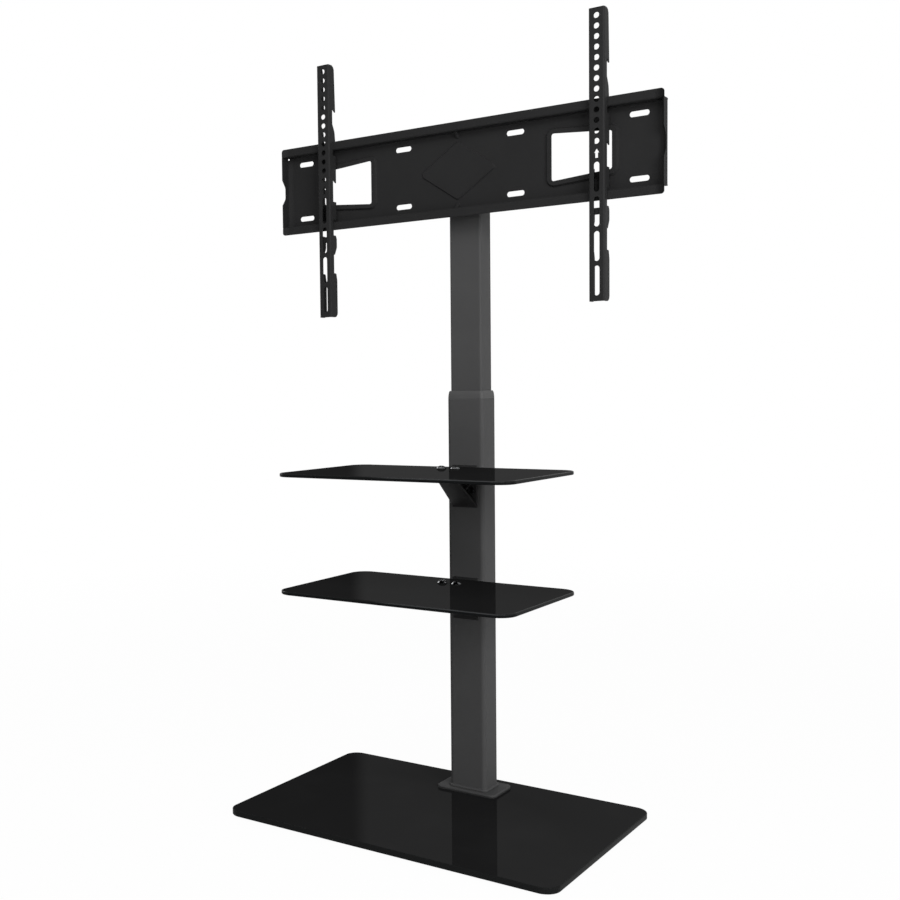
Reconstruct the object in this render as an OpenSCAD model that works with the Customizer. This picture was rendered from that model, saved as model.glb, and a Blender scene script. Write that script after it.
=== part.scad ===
// Floor stand for a flat screen: a glass base, a two-part telescoping column
// with two glass shelves, and a swivelling mount plate with two screen arms.
// Millimetres, +Z up, +Y to the back. The origin is the middle of the base
// at floor level.

/* [Base] */
// Width of the glass base
base_w = 600; // [500:10:800]
// Depth of the glass base
base_d = 400; // [340:10:520]
// Thickness of the glass base
base_glass_t = 10; // [6:1:12]
// Corner radius of the glass base
base_corner_r = 25; // [10:1:50]
// Distance from the back edge of the base to the column axis
column_setback = 63.6; // [60:0.2:90]
// Diameter of a rubber foot
pad_d = 40; // [25:1:60]
// Height of a rubber foot
pad_h = 6; // [6:0.5:14]
// Distance from the base edges to the middle of a rubber foot
pad_inset = 60; // [40:1:90]

/* [Plates at the foot of the column] */
// Width of the steel plate under the glass
under_w = 200; // [140:5:240]
// Reach of the under plate in front of the column axis
under_reach_d = 90; // [60:5:150]
// Reach of the under plate behind the column axis
under_tail_d = 42; // [30:1:50]
// Thickness of the under plate
under_t = 4; // [3:0.5:5]
// Thickness of the soft sheets on both sides of the glass
gasket_t = 1; // [0.5:0.1:1.5]
// Width of the foot flange on the glass
foot_w = 114; // [100:1:140]
// Depth of the foot flange on the glass
foot_d = 74; // [66:1:90]
// Thickness of the foot flange
foot_t = 4; // [3:0.5:8]
// Corner radius of the foot flange
foot_r = 10; // [4:1:16]
// Leg of the weld round the column
weld_leg = 4; // [2:0.5:5]
// Width of the tapped anchor block inside the column
anchor_w = 58; // [52:1:62]
// Depth of the tapped anchor block
anchor_d = 38; // [34:1:42]
// Height of the tapped anchor block
anchor_h = 14; // [10:1:24]
// Spacing of the base bolts from side to side
base_bolt_x = 40; // [32:1:42]
// Spacing of the base bolts from front to back
base_bolt_y = 20; // [16:1:22]
// Diameter of the base bolts
base_bolt_d = 8; // [6:1:10]

/* [Lower column] */
// Width of the lower tube
lower_w = 70; // [68:1:80]
// Depth of the lower tube
lower_d = 50; // [48:1:60]
// Wall of the lower tube
lower_wall = 2; // [1.5:0.1:2.4]
// Outer corner radius of the lower tube
lower_r = 7; // [5:0.5:9]
// Height of the collar's top above the floor
collar_top_z = 729; // [700:0.5:760]
// Height of the collar's shoulder
collar_h = 14; // [6:0.5:16]
// Wall left at the top of the collar's shoulder
collar_wall = 2; // [0.5:0.1:3]

/* [Upper column] */
// Width of the upper tube
upper_w = 60; // [56:0.5:60.4]
// Depth of the upper tube
upper_d = 40; // [36:0.5:40.4]
// Wall of the upper tube
upper_wall = 2; // [1.5:0.1:3]
// Outer corner radius of the upper tube
upper_r = 3; // [2:0.5:6]
// Height of the upper tube's top above the floor
upper_top_z = 1158; // [1145:1:1165]
// How far the upper tube can be lowered
stroke_down = 150; // [50:5:150]
// Height of the guide sleeve inside the lower tube's mouth
sleeve_h = 60; // [40:1:90]
// Height of the shoe's rim under the upper tube
shoe_rim_h = 8; // [5:1:15]
// Height of the shoe's and cap's plugs inside the upper tube
plug_h = 18; // [10:1:30]
// Thickness of the top cap's cover
cap_t = 3; // [2:0.5:6]
// Diameter of the clamp screws
clamp_d = 8; // [6:1:10]
// Spacing of the clamp screws
clamp_pitch = 30; // [24:1:36]

/* [Shelves] */
// Width of a glass shelf
shelf_w = 430; // [360:2:520]
// Depth of a glass shelf
shelf_d = 267.6; // [220:0.4:300]
// Thickness of a glass shelf
shelf_t = 6; // [4:0.5:8]
// Corner radius of a glass shelf
shelf_corner_r = 30; // [10:1:45]
// Gap from the column to the back edge of a shelf
shelf_gap = 9.7; // [8:0.1:15]
// Height of the upper shelf's underside above the floor
upper_shelf_z = 589.9; // [560:0.1:640]
// Height of the lower shelf's underside above the floor
lower_shelf_z = 391.6; // [388:0.1:470]

/* [Shelf bracket] */
// Width of the back bar against the column
back_bar_w = 48; // [44:1:56]
// Thickness of the back bar
back_bar_t = 3; // [2:0.5:7]
// How far the back bar stands above the glass
back_bar_rise = 2.8; // [1:0.1:6]
// Width of the folded sheet at its front
bracket_front_w = 34; // [34:1:44]
// Thickness of the folded sheet
bracket_t = 3; // [2:0.5:3.5]
// Reach of the bracket in front of the column
bracket_reach = 85; // [84:1:110]
// Drop from the glass to the bottom of the back bar
back_bar_drop = 65.5; // [63:0.5:70]
// Drop from the glass to the foot of the slope
slope_drop = 63; // [56:0.1:63]
// Distance from the column to the shelf screws
shelf_screw_y = 61; // [40:1:62]
// Spacing of the shelf screws
shelf_screw_x = 27; // [23:1:27]
// Diameter of the shelf screws
shelf_screw_d = 6; // [5:1:6]
// Diameter of a shelf screw's domed head
shelf_head_d = 17; // [14:1:22]
// Height of a shelf screw's domed head
shelf_head_h = 4.5; // [3:0.5:7]
// Diameter of the screws through the back bar
bar_screw_d = 6; // [4:1:8]
// Spacing of the screws through the back bar
bar_screw_x = 30; // [24:1:34]

/* [Swivel joint] */
// Diameter of the swivel pin
pin_d = 10; // [8:1:11]
// Thickness of a hinge lug
lug_t = 4; // [3:0.5:6]
// Radius of a lug round the pin
lug_tip_r = 9; // [8:0.1:9.5]
// Width of a column lug at the column
column_lug_w = 44; // [30:1:50]
// Width of a plate lug at the plate
plate_lug_w = 56; // [30:1:60]
// Distance between the outer faces of the column lugs
lug_span = 48; // [30:1:70]
// Thickness of the slip washers between the lugs
slip_t = 1; // [0.5:0.1:2]

/* [Mount plate] */
// Width of the mount plate
plate_w = 724.6; // [640:0.2:760]
// Height of the mount plate over its lips
plate_h = 160; // [155:1:175]
// Distance from the upper tube's top down to the mount plate's middle
plate_drop = 51; // [45:0.5:60]
// Distance from the column axis to the front of the lips
plate_front = 60.7; // [60:0.1:64]
// Sheet thickness of the mount plate
plate_t = 2; // [1.5:0.1:2.5]
// Depth of the tray behind the lips
tray_depth = 17.4; // [16:0.1:18]
// Height of a lip above or below the tray
lip_h = 13; // [12:0.5:14]
// Radius of the lips' outer corners
lip_corner_r = 5; // [2:0.5:8]
// Outer radius of the bend at each end of the tray
end_bend_r = 4; // [3:0.5:8]
// Depth of the hollow cut into an end flange
waist_cut = 9.8; // [4:0.1:13]
// Height of the hollow at its floor
waist_floor_h = 21; // [10:1:40]
// Height of the hollow at its mouth
waist_mouth_h = 47; // [40:1:80]
// Length of a wall slot
wall_slot_len = 32; // [20:1:40]
// Width of a wall slot
wall_slot_w = 9; // [8:0.5:12]
// Distance from the middle to the inner wall slots
inner_slot_x = 107.5; // [95:0.5:120]
// Distance from the plate's end to the middle of the outer wall slots
outer_slot_inset = 44.6; // [36:0.1:60]
// Distance between the two rows of wall slots
slot_rows = 100.8; // [96:0.2:106]
// Distance from the middle to a window's inner edge
window_inner_x = 172.8; // [160:0.1:180]
// Distance from the middle to a window's outer edge
window_outer_x = 275; // [240:0.5:280]
// Height of a window at its inner edge
window_inner_h = 77.5; // [60:0.5:84]
// Height of a window at its outer edge
window_outer_h = 60.5; // [40:0.5:70]
// Height of the pressed rim round a window
rim_h = 4.2; // [3:0.1:6]
// Half width of the raised panel in the middle
panel_half_w = 75; // [50:1:80]
// Half height of the raised panel in the middle
panel_half_h = 51; // [30:1:54]
// Height of the raised panel
panel_h = 2.6; // [0.5:0.1:4]

/* [Screen arms] */
// Distance from the plate's end to the middle of an arm
arm_inset = 102.9; // [92:0.1:112]
// Width of an arm
arm_w = 26; // [24:0.5:30]
// Length of an arm
arm_len = 457; // [452:1:480]
// Height of an arm's top above the plate's middle
arm_rise = 217.9; // [215:0.1:230]
// Sheet thickness of an arm
arm_t = 2; // [1.5:0.1:2.5]
// Full depth of an arm's flanges
arm_depth = 21; // [20:0.5:22]
// Distance from an arm's face to the front of the lips
arm_seat = 11.5; // [10:0.1:12]
// Diameter of an arm's round holes
arm_hole_d = 9.4; // [8.5:0.1:10]
// Pitch of an arm's round holes
arm_hole_pitch = 16.2; // [15.5:0.1:16.4]
// Number of round holes in an arm
arm_hole_count = 13; // [8:1:13]
// Length of an arm's slots
arm_slot_len = 47; // [40:1:49]
// Pitch of an arm's slots
arm_slot_pitch = 54.1; // [52:0.1:56]
// Number of slots in an arm
arm_slot_count = 4; // [2:1:4]

/* [Hidden] */
// Cuts run past the surfaces that they open by this much
over = 1;
// Clearance of a sliding fit, of a loose fit and of a thread or pin
slide_gap = 0.3;
loose_gap = 0.2;
thread_gap = 0.05;
// Clearance holes are this much larger than their screws in radius
pass_gap = 0.4;
$fn = 64;
arc_steps = 6;

// Heights at the foot
glass_z = pad_h;
glass_top_z = glass_z + base_glass_t;
under_z = glass_z - gasket_t - under_t;
foot_z = glass_top_z + gasket_t;
lower_z = foot_z + foot_t;
anchor_top_z = lower_z + anchor_h;
bolt_tip_gap = 2;
bolt_sink = under_t;
bolt_socket_h = base_bolt_d / 2 + over;

// Column
column_y = base_d / 2 - column_setback;
lower_in_w = lower_w - 2 * lower_wall;
lower_in_d = lower_d - 2 * lower_wall;
lower_in_r = lower_r - lower_wall;
lower_top_z = collar_top_z - collar_h;
upper_in_w = upper_w - 2 * upper_wall;
upper_in_d = upper_d - 2 * upper_wall;
upper_in_r = max(upper_r - upper_wall, upper_wall / 4);
stop_gap = 2;
upper_z = anchor_top_z + stroke_down + stop_gap + shoe_rim_h;
collar_inset_w = (lower_w - upper_w) / 2 - slide_gap - collar_wall;
collar_inset_d = (lower_d - upper_d) / 2 - slide_gap - collar_wall;
skirt_w = lower_in_w - 2 * loose_gap;
skirt_d = lower_in_d - 2 * loose_gap;
guide_w = upper_w + 2 * slide_gap;
guide_d = upper_d + 2 * slide_gap;
clamp_z = lower_top_z - sleeve_h / 2;
clamp_nut_d = 2 * clamp_d;
clamp_nut_h = 1.25 * clamp_d;
clamp_head_d = 1.6 * clamp_d;
clamp_head_h = clamp_d;
socket_depth_share = 0.5;
socket_share = 0.75;

// Shelf bracket
bar_screw_head_d = 1.8 * bar_screw_d;
bar_screw_head_h = bar_screw_d / 2;
bar_screw_drop = 35;
strip_w = bar_screw_x + 3 * bar_screw_d;
strip_h = 4 * bar_screw_d;
strip_t = 2;
strip_r = 4;
pad_sheet_t = 1;
shelf_washer_t = 1;
shelf_nut_d = 2 * shelf_screw_d;
shelf_nut_h = 0.8 * shelf_screw_d;
shelf_screw_tail = 2;
nose_r = 5;
slope_angle = atan((slope_drop - pad_sheet_t) / (bracket_reach - back_bar_t));
slope_t = bracket_t / cos(slope_angle);

// Mount plate, seen from the column axis
plate_z = upper_top_z - plate_drop;
plate_back_y = plate_front - tray_depth - plate_t;
floor_y = plate_front - tray_depth;
wall_out_h = plate_h - 2 * lip_h;
wall_in_h = wall_out_h - 2 * plate_t;
lip_bend_r = 1.75 * plate_t;
floor_bend_r = 1.5 * plate_t;
relief_r = 2.6;
relief_inset = 4;
rim_flat = 7.5;
rim_bevel = 2.6;
window_r = 4;
slice = 0.1;
rib_r = 3.2;
rib_leg = 10;
panel_slope = 2.6;
panel_r = 6;

// Swivel
pin_y = (upper_d / 2 + plate_back_y) / 2;
pin_head_d = 1.7 * pin_d;
pin_head_h = 0.6 * pin_d;
pin_nut_d = 1.7 * pin_d;
pin_nut_h = 0.8 * pin_d;
pin_washer_d = 1.8 * pin_d;
pin_washer_t = 1.5;
pin_tail = 2;
column_lug_top = lug_span / 2;
plate_lug_foot = column_lug_top + slip_t;
plate_lug_top = plate_lug_foot + lug_t;

// Screen arms, heights from the plate's middle
arm_x = plate_w / 2 - arm_inset;
arm_front_y = plate_front + arm_seat;
arm_bend_r = 1.5 * arm_t;
lip_gap = 0.3;
lip_top_h = plate_h / 2;
narrow_depth = arm_seat - lip_gap;
hook_back_depth = arm_seat + plate_t + 2 * lip_gap;
hook_lift = 9.5;
hook_tip_h = lip_top_h - hook_lift + lip_gap;
throat_foot_h = wall_in_h / 2 - hook_lift;
upper_notch_rise = 32;
upper_notch_len = 25;
upper_notch_foot_h = lip_top_h + upper_notch_rise;
upper_notch_top_h = upper_notch_foot_h + upper_notch_len;
middle_notch_top_h = 9;
middle_notch_len = 37.4;
middle_notch_foot_h = middle_notch_top_h - middle_notch_len;
lower_tab_gap = 4;
lower_tab_foot_h = lower_tab_gap - wall_in_h / 2;
fin_len = 35.1;
fin_crest = 13;
fin_bulge = 4.5;
fin_slant = 3;
fin_r = 24;
barb = 3;
bar_depth = 5.5;
bar_len = 10.5;
fin_top_h = -lip_top_h - hook_lift;
fin_foot_h = fin_top_h - fin_len;
bar_foot_h = fin_top_h - fin_crest;
lower_notch_len = 34;
lower_notch_foot_h = fin_foot_h - lower_notch_len;
arm_top_h = arm_rise;
arm_foot_h = arm_rise - arm_len;
arm_end_r = 9;
tab_r = 5;
small_r = 1;
arm_hole_top = 12;
arm_slot_foot = 32.5;
arrow_drop = 19;
arrow_z = arm_top_h - arm_hole_top - arm_hole_pitch * (arm_hole_count - 1) - arrow_drop;
arrow_h = 15;
arrow_head_w = 9;
arrow_head_h = 7;
arrow_stem_w = 5;

steel_grey = [0.27, 0.27, 0.28];
black_glass = [0.08, 0.08, 0.09];
plastic_black = [0.12, 0.12, 0.12];
rubber_black = [0.07, 0.07, 0.07];
zinc = [0.66, 0.67, 0.68];
chrome_bright = [0.82, 0.83, 0.85];
nylon_white = [0.85, 0.84, 0.8];

// Helpers

// A flat rectangle with round corners, centred
module round_rect(w, d, r) {
    square([w - 2 * r, d], center = true);
    square([w, d - 2 * r], center = true);
    for (sx = [-1, 1], sy = [-1, 1])
        translate([sx * (w / 2 - r), sy * (d / 2 - r)]) circle(r);
}

// A slab with round corners that stands on its z
module slab(w, d, h, r) {
    linear_extrude(h) round_rect(w, d, r);
}

// A corner of an outline as an arc
function unit(v) = v / norm(v);
function turn(r, a) = r * [cos(a), sin(a)];
function arc_corner(a, b, c, r) =
    r <= 0 ? [b] :
    let (
        u = unit(a - b), v = unit(c - b),
        half = acos(u * v) / 2,
        mid = b + unit(u + v) * r / sin(half),
        from = b + u * r / tan(half) - mid,
        to = b + v * r / tan(half) - mid,
        a0 = atan2(from[1], from[0]),
        swing = atan2(from[0] * to[1] - from[1] * to[0], from * to)
    )
    [for (i = [0 : arc_steps]) mid + turn(r, a0 + swing * i / arc_steps)];

// An outline with a radius for each of its corners
function rounded(pts, radii) =
    [for (i = [0 : len(pts) - 1])
        each arc_corner(pts[(i + len(pts) - 1) % len(pts)], pts[i], pts[(i + 1) % len(pts)], radii[i])];

// An outline in Y and Z, pushed out along X about the middle
module along_x(length) {
    rotate([90, 0, 90]) translate([0, 0, -length / 2]) linear_extrude(length) children();
}

// A hole or a shaft along Y that starts at y and runs to the back
module along_y(r, length) {
    rotate([-90, 0, 0]) cylinder(r = r, h = length);
}

// A flat slot outline along its first axis
module slot_outline(len, w) {
    square([len - w, w], center = true);
    for (s = [-1, 1]) translate([s * (len - w) / 2, 0]) circle(w / 2);
}

module at_column() {
    translate([0, column_y, 0]) children();
}

module base_bolt_places() {
    at_column() for (sx = [-1, 1], sy = [-1, 1])
        translate([sx * base_bolt_x / 2, sy * base_bolt_y / 2, 0]) children();
}

// Base

module base_glass() {
    color(black_glass) difference() {
        translate([0, 0, glass_z]) slab(base_w, base_d, base_glass_t, base_corner_r);
        base_bolt_places() translate([0, 0, glass_z - over])
            cylinder(r = base_bolt_d / 2 + 2 * pass_gap, h = base_glass_t + 2 * over);
    }
}

module base_feet() {
    color(rubber_black) for (sx = [-1, 1], sy = [-1, 1])
        translate([sx * (base_w / 2 - pad_inset), sy * (base_d / 2 - pad_inset), 0])
            cylinder(r = pad_d / 2, h = pad_h);
}

module under_outline() {
    translate([0, (under_tail_d - under_reach_d) / 2])
        round_rect(under_w, under_reach_d + under_tail_d, foot_r);
}

module under_plate() {
    color(steel_grey) difference() {
        at_column() translate([0, 0, under_z]) linear_extrude(under_t) under_outline();
        base_bolt_places() translate([0, 0, under_z])
            cylinder(r1 = base_bolt_d, r2 = base_bolt_d / 2, h = bolt_sink);
        base_bolt_places() translate([0, 0, under_z - over])
            cylinder(r = base_bolt_d / 2 + thread_gap, h = under_t + 2 * over);
    }
}

module under_gasket() {
    color(rubber_black) difference() {
        at_column() translate([0, 0, under_z + under_t]) linear_extrude(gasket_t) under_outline();
        base_bolt_places() translate([0, 0, under_z])
            cylinder(r = base_bolt_d / 2 + pass_gap, h = under_t + gasket_t + over);
    }
}

module foot_gasket() {
    color(rubber_black) difference() {
        at_column() translate([0, 0, glass_top_z]) slab(foot_w, foot_d, gasket_t, foot_r);
        base_bolt_places() translate([0, 0, glass_top_z - over])
            cylinder(r = base_bolt_d / 2 + pass_gap, h = gasket_t + 2 * over);
    }
}

// The weld is a sloped ring round the lower tube, one with the flange
module weld_ring() {
    difference() {
        translate([0, 0, lower_z]) hull() {
            slab(lower_w + 2 * weld_leg, lower_d + 2 * weld_leg, slice, lower_r + weld_leg);
            slab(lower_w + slice, lower_d + slice, weld_leg, lower_r);
        }
        translate([0, 0, lower_z - over]) slab(lower_w, lower_d, weld_leg + 2 * over, lower_r);
    }
}

module foot_flange() {
    color(steel_grey) {
        difference() {
            at_column() translate([0, 0, foot_z]) slab(foot_w, foot_d, foot_t, foot_r);
            base_bolt_places() translate([0, 0, foot_z - over])
                cylinder(r = base_bolt_d / 2 + pass_gap, h = foot_t + 2 * over);
        }
        at_column() weld_ring();
    }
}

module anchor_block() {
    color(zinc) difference() {
        at_column() translate([0, 0, lower_z]) slab(anchor_w, anchor_d, anchor_h, upper_r);
        base_bolt_places() translate([0, 0, lower_z - over])
            cylinder(r = base_bolt_d / 2 + thread_gap, h = anchor_h + 2 * over);
    }
}

module base_bolts() {
    color(zinc) base_bolt_places() translate([0, 0, under_z]) difference() {
        union() {
            cylinder(r1 = base_bolt_d, r2 = base_bolt_d / 2, h = bolt_sink);
            cylinder(r = base_bolt_d / 2, h = anchor_top_z - bolt_tip_gap - under_z);
        }
        translate([0, 0, -over])
            cylinder(r = base_bolt_d * socket_share / 2, h = bolt_socket_h, $fn = 6);
    }
}

// Lower column

module shelf_bar_places(z) {
    translate([0, -lower_d / 2, z - bar_screw_drop]) for (s = [-1, 1])
        translate([s * bar_screw_x / 2, 0, 0]) children();
}

module clamp_places() {
    at_column() for (s = [-1, 1])
        translate([0, lower_d / 2, clamp_z + s * clamp_pitch / 2]) children();
}

module lower_column() {
    color(steel_grey) difference() {
        at_column() translate([0, 0, lower_z]) slab(lower_w, lower_d, lower_top_z - lower_z, lower_r);
        at_column() translate([0, 0, lower_z - over])
            slab(lower_in_w, lower_in_d, lower_top_z - lower_z + 2 * over, lower_in_r);
        at_column() for (z = [upper_shelf_z, lower_shelf_z])
            shelf_bar_places(z) translate([0, -over, 0])
                along_y(bar_screw_d / 2 + pass_gap, lower_wall + 2 * over);
        clamp_places() translate([0, -lower_wall - over, 0])
            along_y(clamp_d / 2 + pass_gap, lower_wall + 2 * over);
    }
}

// The shoulder closes the lower tube's mouth down to the upper tube
module sleeve_shoulder() {
    hull() for (i = [0 : arc_steps]) {
        draw_in = 1 - cos(90 * i / arc_steps);
        rise = (collar_h - slice) * sin(90 * i / arc_steps);
        slab(
            lower_w - 2 * collar_inset_w * draw_in, lower_d - 2 * collar_inset_d * draw_in,
            rise + slice, lower_r - collar_inset_d * draw_in / 2, $fn = 32
        );
    }
}

// One moulding: the shoulder on the tube's end and a skirt inside the tube
module guide_sleeve() {
    color(steel_grey) difference() {
        at_column() {
            translate([0, 0, lower_top_z]) sleeve_shoulder();
            translate([0, 0, lower_top_z - sleeve_h])
                slab(skirt_w, skirt_d, sleeve_h + over, lower_in_r - loose_gap);
        }
        at_column() translate([0, 0, lower_top_z - sleeve_h - over])
            slab(guide_w, guide_d, sleeve_h + collar_h + 2 * over, upper_r + slide_gap);
        clamp_places() translate([0, -lower_d / 2, 0]) along_y(clamp_d / 2 + pass_gap, lower_d / 2);
    }
}

module clamp_nuts() {
    color(steel_grey) clamp_places() difference() {
        along_y(clamp_nut_d / 2, clamp_nut_h);
        translate([0, -over, 0]) along_y(clamp_d / 2 + thread_gap, clamp_nut_h + 2 * over);
    }
}

module clamp_screws() {
    tip_y = upper_d / 2 - lower_d / 2 + slide_gap;
    color(zinc) clamp_places() difference() {
        union() {
            translate([0, tip_y, 0]) along_y(clamp_d / 2, clamp_nut_h - tip_y + over);
            translate([0, clamp_nut_h, 0]) along_y(clamp_head_d / 2, clamp_head_h);
        }
        translate([0, clamp_nut_h + clamp_head_h * (1 - socket_depth_share), 0])
            rotate([-90, 0, 0]) cylinder(r = clamp_d * socket_share / 2, h = clamp_head_h, $fn = 6);
    }
}

// Shelves, each about the column and its own underside

module at_shelf(z) {
    translate([0, column_y - lower_d / 2, z]) children();
}

module shelf_screw_places() {
    for (s = [-1, 1]) translate([s * shelf_screw_x / 2, -shelf_screw_y, 0]) children();
}

module shelf_glass(z) {
    color(black_glass) at_shelf(z) difference() {
        translate([0, -shelf_gap - shelf_d / 2, 0]) slab(shelf_w, shelf_d, shelf_t, shelf_corner_r);
        shelf_screw_places() translate([0, 0, -over])
            cylinder(r = shelf_screw_d / 2 + pass_gap, h = shelf_t + 2 * over);
    }
}

// Side view of the folded sheet: a flat top and a slope down to the back bar
module bracket_fold() {
    top = -pad_sheet_t;
    inner_nose_y = -bracket_reach + (bracket_t + slope_t) / tan(slope_angle);
    polygon(rounded([
        [-back_bar_t + slice, top], [-bracket_reach, top], [-back_bar_t, -slope_drop],
        [-back_bar_t + slice, -slope_drop], [-back_bar_t + slice, slope_t - slope_drop],
        [-back_bar_t, slope_t - slope_drop],
        [inner_nose_y, top - bracket_t], [-back_bar_t + slice, top - bracket_t]
    ], [0, nose_r, 0, 0, 0, 0, nose_r - bracket_t, 0]));
}

// Plan of the folded sheet: it narrows from the back bar to its front
module bracket_plan() {
    polygon([
        [-back_bar_w / 2, 0], [back_bar_w / 2, 0],
        [bracket_front_w / 2, -bracket_reach], [-bracket_front_w / 2, -bracket_reach]
    ]);
}

module shelf_bracket(z) {
    color(steel_grey) at_shelf(z) difference() {
        union() {
            translate([-back_bar_w / 2, -back_bar_t, -back_bar_drop])
                cube([back_bar_w, back_bar_t, back_bar_drop + shelf_t + back_bar_rise]);
            intersection() {
                along_x(back_bar_w) bracket_fold();
                translate([0, 0, -slope_drop]) linear_extrude(slope_drop) bracket_plan();
            }
        }
        shelf_screw_places() translate([0, 0, -pad_sheet_t - bracket_t - over])
            cylinder(r = shelf_screw_d / 2 + pass_gap, h = bracket_t + 2 * over);
        translate([0, lower_d / 2 - back_bar_t - over, 0]) shelf_bar_places(0)
            along_y(bar_screw_d / 2 + pass_gap, back_bar_t + 2 * over);
    }
}

module shelf_pad(z) {
    pad_back = (back_bar_t + shelf_gap) / 2 + pad_sheet_t;
    pad_front = bracket_reach - nose_r / tan(slope_angle / 2);
    color(rubber_black) at_shelf(z) difference() {
        intersection() {
            translate([0, -(pad_front + pad_back) / 2, -pad_sheet_t])
                slab(back_bar_w, pad_front - pad_back, pad_sheet_t, small_r);
            translate([0, 0, -pad_sheet_t]) linear_extrude(pad_sheet_t) bracket_plan();
        }
        shelf_screw_places() translate([0, 0, -pad_sheet_t - over])
            cylinder(r = shelf_screw_d / 2 + pass_gap, h = pad_sheet_t + 2 * over);
    }
}

// Domed chrome head on a washer, with the shank down to its nut
module shelf_screws(z) {
    head_z = shelf_t + shelf_washer_t;
    shank = head_z + pad_sheet_t + bracket_t + shelf_nut_h + shelf_screw_tail;
    dome_r = (pow(shelf_head_d / 2, 2) + pow(shelf_head_h, 2)) / (2 * shelf_head_h);
    color(chrome_bright) at_shelf(z) shelf_screw_places() translate([0, 0, head_z]) {
        intersection() {
            cylinder(r = shelf_head_d / 2, h = shelf_head_h);
            translate([0, 0, shelf_head_h - dome_r]) sphere(dome_r);
        }
        translate([0, 0, -shank]) cylinder(r = shelf_screw_d / 2, h = shank);
    }
}

module shelf_washers(z) {
    color(nylon_white) at_shelf(z) shelf_screw_places() translate([0, 0, shelf_t]) difference() {
        cylinder(r = shelf_head_d / 2, h = shelf_washer_t);
        translate([0, 0, -over]) cylinder(r = shelf_screw_d / 2 + pass_gap, h = shelf_washer_t + 2 * over);
    }
}

module shelf_nuts(z) {
    color(zinc) at_shelf(z) shelf_screw_places()
        translate([0, 0, -pad_sheet_t - bracket_t - shelf_nut_h]) rotate(90) difference() {
            cylinder(r = shelf_nut_d / 2, h = shelf_nut_h, $fn = 6);
            translate([0, 0, -over])
                cylinder(r = shelf_screw_d / 2 + thread_gap, h = shelf_nut_h + 2 * over);
        }
}

module bar_screws(z) {
    reach = back_bar_t + lower_wall + strip_t - small_r / 2;
    color(zinc) at_column() shelf_bar_places(z) translate([0, -back_bar_t, 0]) {
        along_y(bar_screw_d / 2, reach);
        translate([0, -bar_screw_head_h, 0]) along_y(bar_screw_head_d / 2, bar_screw_head_h);
    }
}

module nut_strip(z) {
    color(zinc) at_column() difference() {
        translate([0, lower_wall - lower_d / 2, z - bar_screw_drop]) rotate([-90, 0, 0])
            slab(strip_w, strip_h, strip_t, strip_r);
        shelf_bar_places(z) along_y(bar_screw_d / 2 + thread_gap, lower_wall + strip_t + over);
    }
}

// Upper column

module upper_column() {
    color(steel_grey) at_column() difference() {
        translate([0, 0, upper_z]) slab(upper_w, upper_d, upper_top_z - upper_z, upper_r);
        translate([0, 0, upper_z - over])
            slab(upper_in_w, upper_in_d, upper_top_z - upper_z + 2 * over, upper_in_r);
    }
}

module plug(h) {
    slab(upper_in_w - 2 * loose_gap, upper_in_d - 2 * loose_gap, h, upper_r);
}

module column_cap() {
    color(plastic_black) at_column() translate([0, 0, upper_top_z]) {
        slab(upper_w, upper_d, cap_t, upper_r);
        translate([0, 0, -plug_h]) plug(plug_h);
    }
}

module column_shoe() {
    color(plastic_black) at_column() translate([0, 0, upper_z]) {
        translate([0, 0, -shoe_rim_h]) slab(
            lower_in_w - 2 * slide_gap, lower_in_d - 2 * slide_gap,
            shoe_rim_h, lower_in_r - slide_gap
        );
        plug(plug_h);
    }
}

// Swivel joint

module at_pin() {
    translate([0, column_y - pin_y, plate_z]) children();
}

// One lug from its root at root_y, seen from the pin, with a bore for the pin
module lug(root_w, root_y) {
    linear_extrude(lug_t) difference() {
        union() {
            circle(lug_tip_r);
            polygon([[-root_w / 2, root_y], [root_w / 2, root_y], [lug_tip_r, 0], [-lug_tip_r, 0]]);
        }
        circle(pin_d / 2 + thread_gap);
    }
}

module column_lugs() {
    color(steel_grey) at_pin() for (z = [column_lug_top - lug_t, -column_lug_top])
        translate([0, 0, z]) lug(column_lug_w, pin_y - upper_d / 2);
}

module plate_lugs() {
    color(steel_grey) at_pin() for (z = [plate_lug_foot, -plate_lug_top])
        translate([0, 0, z]) lug(plate_lug_w, pin_y - plate_back_y);
}

module ring(r_out, r_in, h) {
    difference() {
        cylinder(r = r_out, h = h);
        translate([0, 0, -over]) cylinder(r = r_in, h = h + 2 * over);
    }
}

module slip_washers() {
    color(nylon_white) at_pin() for (z = [column_lug_top, -plate_lug_foot])
        translate([0, 0, z]) ring(lug_tip_r, pin_d / 2 + thread_gap, slip_t);
}

module steel_washers() {
    color(zinc) at_pin() for (z = [plate_lug_top, -plate_lug_top - pin_washer_t])
        translate([0, 0, z]) ring(pin_washer_d / 2, pin_d / 2 + thread_gap, pin_washer_t);
}

module swivel_pin() {
    seat = plate_lug_top + pin_washer_t;
    color(zinc) at_pin() {
        translate([0, 0, seat]) cylinder(r = pin_head_d / 2, h = pin_head_h, $fn = 6);
        translate([0, 0, -seat - pin_nut_h - pin_tail])
            cylinder(r = pin_d / 2, h = 2 * seat + pin_nut_h + pin_tail);
    }
}

module swivel_nut() {
    color(zinc) at_pin() translate([0, 0, -plate_lug_top - pin_washer_t - pin_nut_h]) difference() {
        cylinder(r = pin_nut_d / 2, h = pin_nut_h, $fn = 6);
        translate([0, 0, -over]) cylinder(r = pin_d / 2 + thread_gap, h = pin_nut_h + 2 * over);
    }
}

// Mount plate

module at_plate() {
    translate([0, column_y, plate_z]) children();
}

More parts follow.
